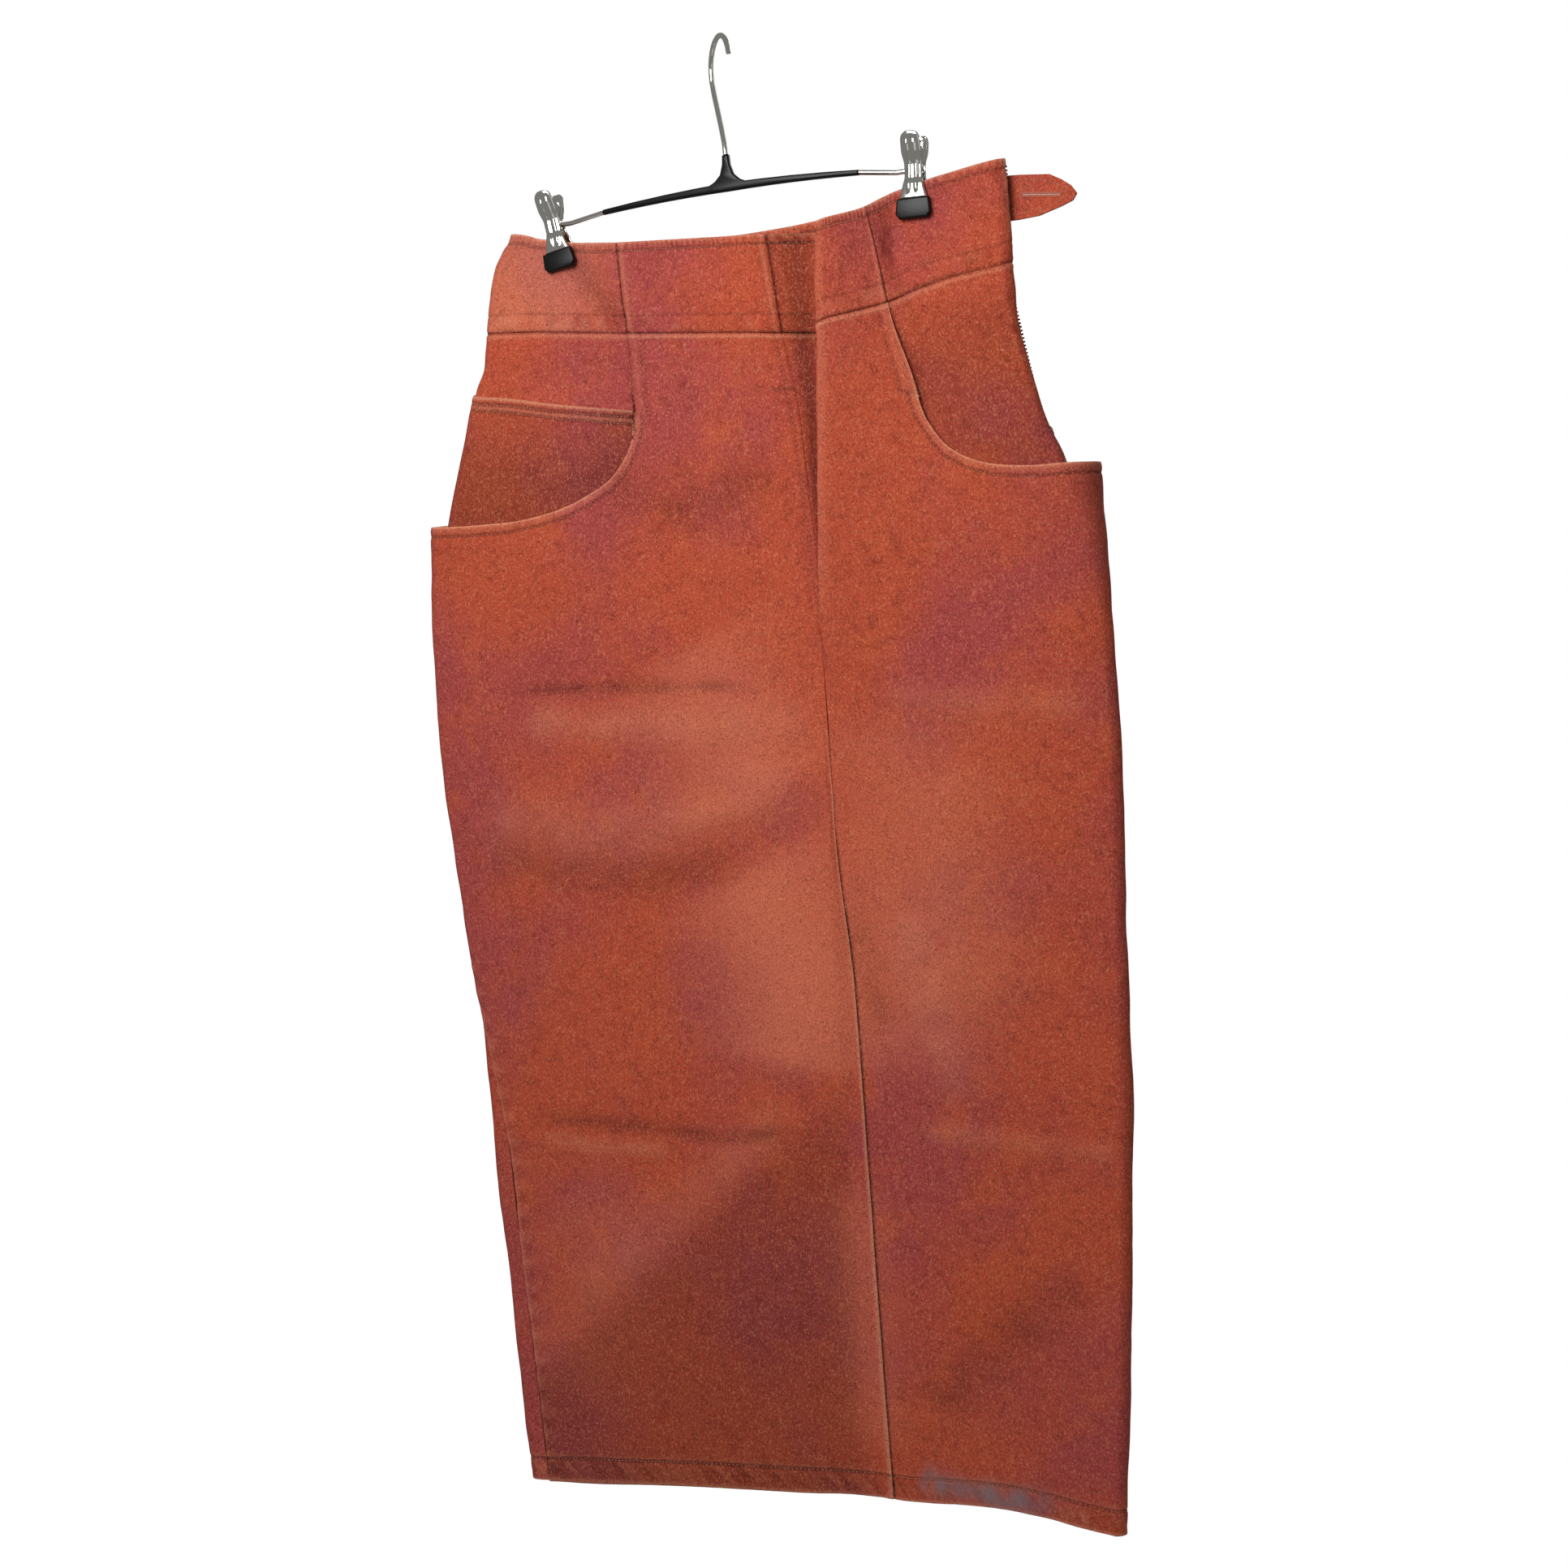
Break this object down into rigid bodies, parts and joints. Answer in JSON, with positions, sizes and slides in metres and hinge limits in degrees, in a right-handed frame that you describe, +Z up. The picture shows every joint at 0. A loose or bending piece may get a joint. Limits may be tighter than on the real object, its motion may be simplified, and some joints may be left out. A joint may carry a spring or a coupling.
{
  "type": "maxi skirt on a clip hanger",
  "caption": "High-waisted rust denim maxi peg skirt with scooped pockets and an open side zip, hung from a black clip hanger by two chrome clips.",
  "frame": {"origin": "inner top of the hanger's hook, where it rests on a rail", "axes": "X along the hanger bar, +Z up toward the hook, -Y out of the front of the skirt"},
  "size_m": [0.5451, 0.0562, 1.0853],
  "materials": {
    "denim": "washed, faded cotton denim",
    "zip_tape": "woven zip tape",
    "zip_metal": "dulled brass",
    "chrome": "bright plated steel",
    "black_vinyl": "black moulded vinyl"
  },
  "bodies": {
    "root": {"band_front_side_left": "denim", "band_front_centre_left": "denim", "band_front_centre_right": "denim", "band_front_side_right": "denim", "back_band": "denim", "front_panel_left": "denim", "front_panel_right": "denim", "pocket_facing_left": "denim", "pocket_facing_right": "denim", "coin_pocket": "denim", "back_panel_left": "denim", "back_panel_right": "denim", "waist_tab": "denim", "zip_tape_front": "zip_tape", "zip_tape_back": "zip_tape", "zip_slider": "zip_metal", "hanger_hook": "chrome", "hanger_rod_left": "chrome", "hanger_rod_right": "chrome", "clip_left_jaw_front": "chrome", "clip_left_jaw_back": "chrome", "clip_left_spring": "chrome", "clip_right_jaw_front": "chrome", "clip_right_jaw_back": "chrome", "clip_right_spring": "chrome", "hanger_bar": "black_vinyl", "clip_left_pad_front": "black_vinyl", "clip_left_pad_back": "black_vinyl", "clip_right_pad_front": "black_vinyl", "clip_right_pad_back": "black_vinyl"},
    "pull": {"zip_pull": "zip_metal"}
  },
  "joints": [
    {"name": "pull_hinge", "type": "hinge", "parent": "root", "child": "pull", "pos_m": [0.22539, 0.01338, -0.305], "axis": [0.98, -0.199, 0], "range_deg": [0, 150]}
  ]
}
